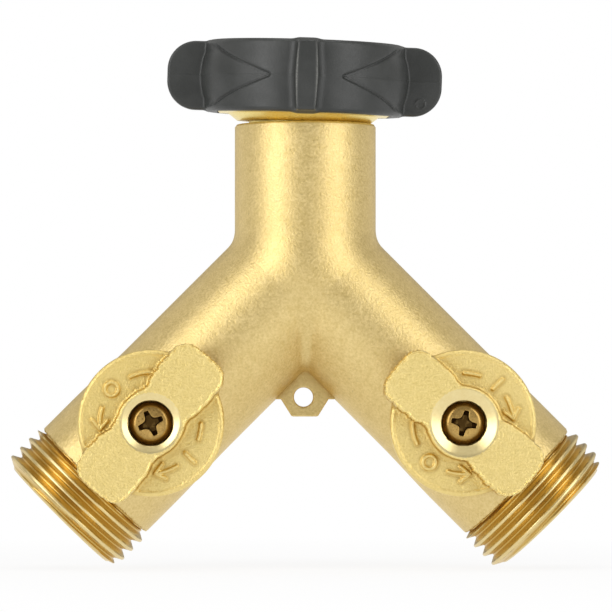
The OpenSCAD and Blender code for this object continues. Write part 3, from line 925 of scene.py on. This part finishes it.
def lever(side):
    """A disc with raised marks and a finger bar with a ragged flash edge, cast in one, with a cone
    and a well for the screw, a square for the stem and a slot for the stop post."""
    phase, cone_wide = RIPPLE_PHASE[side], CONE_WIDE[side]
    cone_low = BAR_TOP - cone_wide * CONE_SLOPE
    boss_r = WELL_R + cone_wide + 0.3

    def field(p):
        x, y, z = p[:, 0], p[:, 1], p[:, 2]
        r = np.hypot(x, y)
        raised = 0.32 * ease((MARK_HALF_WIDE - marks(x, y)) / 0.38)
        bead = 0.12 * ridge(r - BEAD_RING, 0.28)
        disc = corner(r - DISC_R, z - DISC_TOP - raised - bead, 0.55)
        disc = corner(disc, DISC_LOW - z, 0.3)
        outline, u, v = bar_outline(x, y, phase, boss_r)
        flash = 0.14 * ridge(outline + 0.28, 0.2)
        flash = flash * (0.8 + 0.5 * np.sin(2.7 * u - 3.1 * v + phase)) * (r > boss_r)
        flash = flash * (1 + 0.7 * ease((np.abs(u) - 8) / 4))
        swell = 0.12 * np.cos(v * 0.28) * (1 - (u / 17) ** 2)
        bar = corner(outline + 0.02 * (z - DISC_TOP), z - (BAR_TOP - 0.2 + swell + flash), 0.35)
        bar = corner(bar, DISC_LOW + 0.6 - z, 0.3)
        solid = smooth_union(disc, bar, 0.7)
        cone = (r - WELL_R - (z - cone_low) / CONE_SLOPE) * 0.5
        well = np.maximum(np.where(z > cone_low, cone, r - WELL_R), WELL_FLOOR - z)
        hole = np.minimum(well, np.maximum(r - BOLT_R, 12 - z))
        square = np.maximum(np.maximum(np.abs(x), np.abs(y)) - SQUARE_HALF, z - DISC_LOW - SQUARE_DEEP)
        away = (np.degrees(np.arctan2(y, x)) - SLOT_MIDDLE + 180) % 360 - 180
        slot = np.maximum(np.abs(r - STOP_RING) - SLOT_HALF_WIDE,
                          np.radians(np.abs(away) - SLOT_HALF_ANGLE) * STOP_RING)
        slot = np.maximum(slot, z - DISC_LOW - SLOT_DEEP)
        hole = np.minimum(np.minimum(hole, square), slot)
        return corner(solid, -hole, 0.12)

    low = np.array([-16.2, -13.8, DISC_LOW - 0.7])
    high = np.array([16.2, 13.8, BAR_TOP + 0.9])
    verts, quads, normals = surface(field, low, high, GRID["lever"], relax=1)
    centre = verts[quads].mean(1)
    reach = np.hypot(centre[:, 0], centre[:, 1])
    cut = (reach < WELL_R + cone_wide - 0.1) & (centre[:, 2] > DISC_TOP)
    x, y, z = verts.T
    outline = bar_outline(x, y, phase, boss_r)[0]
    # painted shade: the disc a little darker than the bar, and darker still at the bar's foot and round the
    # raised marks
    beside_bar = fade(outline, 0.7) * ease((DISC_TOP + 2.2 - z) / 1.6) * (outline > -0.3)
    beside_mark = ridge(marks(x, y) - 0.55, 0.26) * (z < DISC_TOP + 0.7)
    on_disc = ease((DISC_TOP + 1.2 - z) / 0.8)
    painted_shade = np.clip(0.12 * on_disc + 0.8 * beside_bar + 0.6 * beside_mark, 0, 1)
    turn = valve_axes(side)
    piece = add_piece(f"{side}_handle", f"{side}_valve", "lever_brass", [f"{side}_lever"],
                      placed(verts, turn, STEM[side]), quads, [DIECAST, SPOTTED],
                      normals=placed(normals, turn), slots=cut.astype(int))
    paint(piece, "painted_shade", painted_shade)


def lever_screw(side):
    """A domed head with a tapered cross recess, with painted shade in the recess and at its rim."""
    cross = math.radians(CROSS_ANGLE[side])

    def field(p):
        x = p[:, 0] * math.cos(cross) + p[:, 1] * math.sin(cross)
        y = p[:, 1] * math.cos(cross) - p[:, 0] * math.sin(cross)
        z = p[:, 2] - WELL_FLOOR
        r = np.hypot(x, y)
        crown = HEAD_HIGH - HEAD_CURVE * r * r - 0.9 * ease((r - 2.3) / 1.6) ** 2
        head = corner(r - HEAD_R, z - crown, 0.3)
        head = corner(head, -z, 0.15)
        shank = corner(r - SHANK_R, -6.5 - z, 0.3)
        solid = np.minimum(head, np.maximum(shank, z - 0.5))
        deep = np.clip((crown - z) / 1.5, 0, 1)
        reach = 2.3 - 0.9 * deep
        width = 0.66 - 0.10 * np.maximum(np.abs(x), np.abs(y)) - 0.12 * deep
        arms = np.minimum(corner(np.abs(x) - reach, np.abs(y) - width, 0.2),
                          corner(np.abs(y) - reach, np.abs(x) - width, 0.2))
        core = (np.abs(x) + np.abs(y)) * DIAGONAL - (1.1 - 0.4 * deep)
        recess = np.maximum(smooth_union(arms, core, 0.4), 0.35 - z)
        return corner(solid, -recess, 0.08)

    low = np.array([-4.2, -4.2, WELL_FLOOR - 7.0])
    high = np.array([4.2, 4.2, WELL_FLOOR + 2.4])
    verts, quads, normals = surface(field, low, high, GRID["screw"], relax=1)
    r = np.hypot(verts[:, 0], verts[:, 1])
    # painted shade deep in the cross recess and round the head's rim, next to the well's wall
    sunk = (WELL_FLOOR + HEAD_HIGH - HEAD_CURVE * r * r - verts[:, 2]) * (r < 2.4)
    painted_shade = np.maximum(1.4 * ease((sunk - 0.08) / 0.3), 0.7 * ease((r - 2.0) / 1.2))
    turn = valve_axes(side)
    piece = add_piece(f"{side}_cross_screw", f"{side}_valve", "screw_bronze",
                      [f"{side}_lever_screw"], placed(verts, turn, STEM[side]), quads, [BRONZE],
                      normals=placed(normals, turn))
    paint(piece, "painted_shade", painted_shade)


for side in SIDES:
    lever(side)
    lever_screw(side)


# ---------------------------------------------------------------- the CAD parts that stay

KEPT = {"inner_seat": SEAT, "outer_seat": SEAT, "seat_retainer": LIP, "ball": CHROME, "stem": LIP,
        "thrust_washer": SEAT, "stem_o_rings": RUBBER}
for side in SIDES:
    for part, material in KEPT.items():
        for slot in frame["nodes"][f"{side}_{part}"].material_slots:
            slot.material = material


# ---------------------------------------------------------------- floor, world, lights and camera

FLOOR_Z, FLOOR_HALF = cad_box[0][2], 6.0
FLOOR_FADE = (0.09, 0.20)                                    # metres from the object's middle
WORLD_LIGHT = 0.42
MIDDLE = Vector((0, 0, (cad_box[0][2] + cad_box[1][2]) / 2))
# name, azimuth and elevation in degrees, distance, width and height in metres, watts
LIGHTS = (("key_left", -50, 15, 0.70, 0.34, 0.70, 2.7), ("key_right", 50, 15, 0.70, 0.34, 0.70, 2.15),
          ("rim_left", -128, 25, 0.80, 0.50, 0.70, 0.55), ("rim_right", 128, 25, 0.80, 0.50, 0.70, 0.45),
          ("top", 0, 80, 0.60, 0.50, 0.40, 1.0))
VIEW_AZIMUTH, VIEW_ELEVATION = -1.15, -1.4
VIEW_AWAY, VIEW_LENS, VIEW_SENSOR = 0.750, 248.7, 36
VIEW_CENTRE = Vector((0.00013, 0, -0.03895))


def floor():
    """A pale floor that turns into the white surroundings away from the object."""
    mesh = bpy.data.meshes.new("floor")
    corners = [(x * FLOOR_HALF, y * FLOOR_HALF, FLOOR_Z) for x, y in ((-1, -1), (1, -1), (1, 1), (-1, 1))]
    mesh.from_pydata(corners, [], [(0, 1, 2, 3)])
    material, shader = new_material("pale_floor")
    n = Nodes(material)
    shader.inputs["Base Color"].default_value = (0.9, 0.9, 0.9, 1)
    shader.inputs["Roughness"].default_value = 0.9
    shader.inputs["Specular IOR Level"].default_value = 0.1
    length = n.make("ShaderNodeVectorMath", operation="LENGTH")
    n.link(n.place, length.inputs[0])
    glow = n.make("ShaderNodeEmission")
    glow.inputs[0].default_value = (1, 1, 1, 1)
    blend = n.make("ShaderNodeMixShader")
    n.link(n.spread(length.outputs["Value"], *FLOOR_FADE, 0.88, 1.0), blend.inputs[0])
    n.link(shader.outputs[0], blend.inputs[1])
    n.link(glow.outputs[0], blend.inputs[2])
    output = next(node for node in material.node_tree.nodes if node.type == "OUTPUT_MATERIAL")
    n.link(blend.outputs[0], output.inputs[0])
    mesh.materials.append(material)
    piece = bpy.data.objects.new("floor", mesh)
    bpy.context.scene.collection.objects.link(piece)


def world(level):
    """White behind the object, and softer light from all around it."""
    scene = bpy.context.scene
    scene.world = bpy.data.worlds.new("studio")
    scene.world.use_nodes = True
    tree = scene.world.node_tree
    tree.nodes.clear()
    output = tree.nodes.new("ShaderNodeOutputWorld")
    seen = tree.nodes.new("ShaderNodeBackground")
    seen.inputs[0].default_value = (1, 1, 1, 1)
    around = tree.nodes.new("ShaderNodeBackground")
    around.inputs[0].default_value = (1.0, 0.98, 0.95, 1)
    around.inputs[1].default_value = level
    choose = tree.nodes.new("ShaderNodeMixShader")
    path = tree.nodes.new("ShaderNodeLightPath")
    tree.links.new(path.outputs["Is Camera Ray"], choose.inputs[0])
    tree.links.new(around.outputs[0], choose.inputs[1])
    tree.links.new(seen.outputs[0], choose.inputs[2])
    tree.links.new(choose.outputs[0], output.inputs[0])


def aimed(name, data, centre, azimuth, elevation, away):
    """A light or camera that looks at centre from away metres off, 0, 0 being the front."""
    a, e = math.radians(azimuth), math.radians(elevation)
    back = Vector((math.sin(a) * math.cos(e), -math.cos(a) * math.cos(e), math.sin(e)))
    item = bpy.data.objects.new(name, data)
    item.location = centre + back * away
    item.rotation_mode = "QUATERNION"
    item.rotation_quaternion = (-back).to_track_quat("-Z", "Y")
    bpy.context.scene.collection.objects.link(item)
    return item


def soft_light(name, azimuth, elevation, away, wide, tall, power):
    """A rectangular area light aimed at the object's middle."""
    data = bpy.data.lights.new(name, "AREA")
    data.shape = "RECTANGLE"
    data.size, data.size_y = wide, tall
    data.energy = power
    aimed(name, data, MIDDLE, azimuth, elevation, away)


floor()
world(WORLD_LIGHT)
for light in LIGHTS:
    soft_light(*light)

camera_data = bpy.data.cameras.new("camera")
camera_data.lens, camera_data.sensor_width = VIEW_LENS, VIEW_SENSOR
camera_data.clip_start, camera_data.clip_end = 0.05, 20
camera = aimed("camera", camera_data, VIEW_CENTRE, VIEW_AZIMUTH, VIEW_ELEVATION, VIEW_AWAY)
bpy.context.scene.camera = camera
bpy.context.scene.view_settings.view_transform = "Standard"
